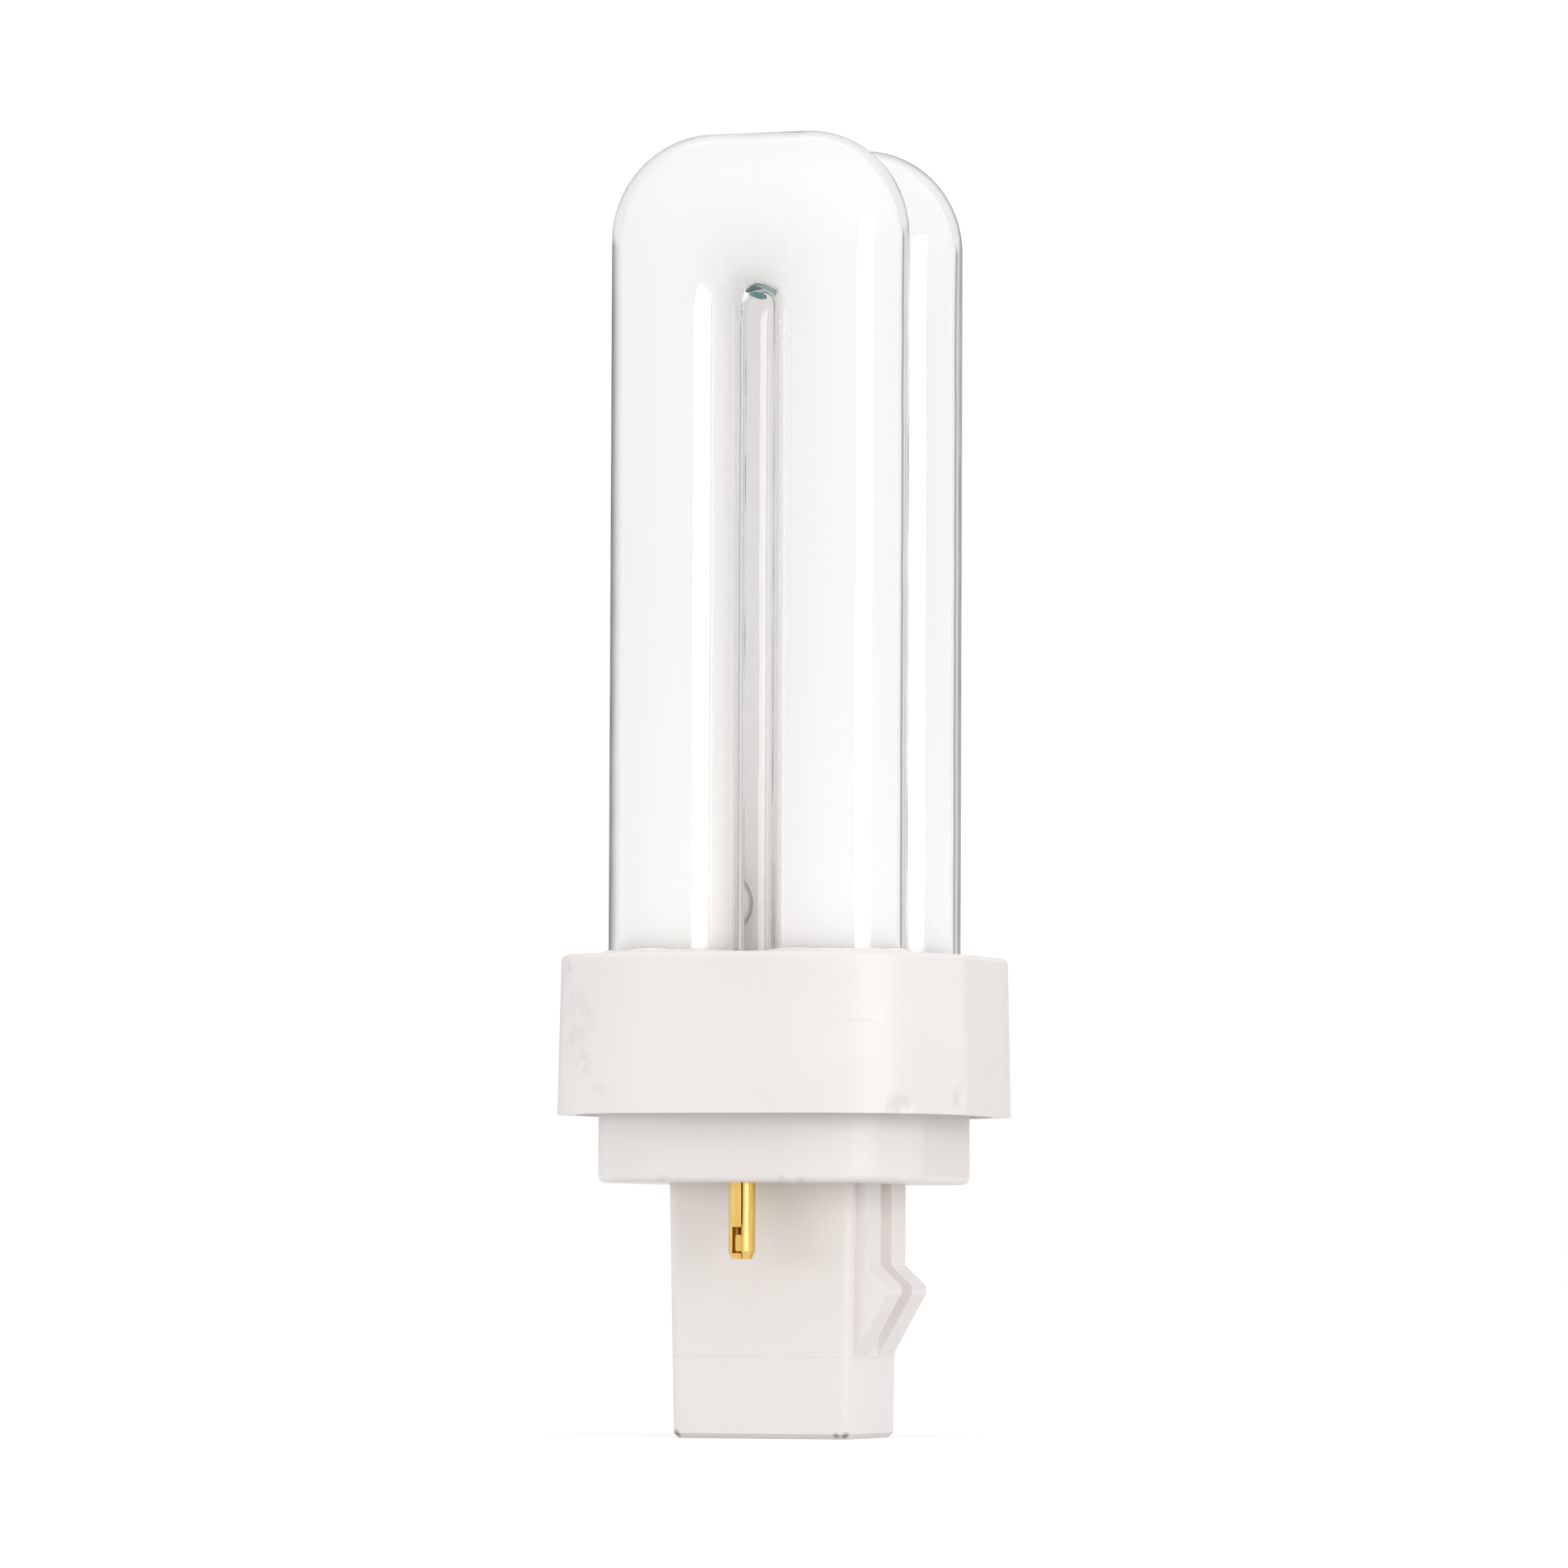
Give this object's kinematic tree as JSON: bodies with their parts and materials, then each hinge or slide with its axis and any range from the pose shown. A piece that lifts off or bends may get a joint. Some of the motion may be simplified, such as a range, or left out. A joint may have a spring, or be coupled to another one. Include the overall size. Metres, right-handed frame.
{
  "type": "u shaped fluorescent lamp",
  "caption": "Compact fluorescent lamp: joined U shaped white glass tubes on a rounded square plastic base with a latching plug-in post and brass contact pins.",
  "frame": {"origin": "centre of the flat end of the plug-in post, which is the lowest point as it stands", "axes": "+Z along the lamp from the post to the bends, -Y towards the front U tube and the front pin, +X towards the latch ribs"},
  "size_m": [0.0378, 0.0378, 0.1155],
  "materials": {
    "coated_glass": "clear glass over a matt white inner coating",
    "cement": "matt white cement",
    "base_plastic": "off-white moulded, lightly scuffed",
    "pin_brass": "rolled brass, bright",
    "starter_glass": "clear starter bulb",
    "capacitor_case": "dipped resin",
    "lead_wire": "tinned wire"
  },
  "bodies": {
    "root": {"discharge_tube": "coated_glass", "cement_bed": "cement", "base_collar": "base_plastic", "base_cap": "base_plastic", "contact_pin_front": "pin_brass", "contact_pin_rear": "pin_brass", "glow_starter": "starter_glass", "starter_capacitor": "capacitor_case", "lead_front_pin": "lead_wire", "lead_rear_pin": "lead_wire", "lead_front_starter": "lead_wire", "lead_rear_starter": "lead_wire"}
  },
  "joints": []
}
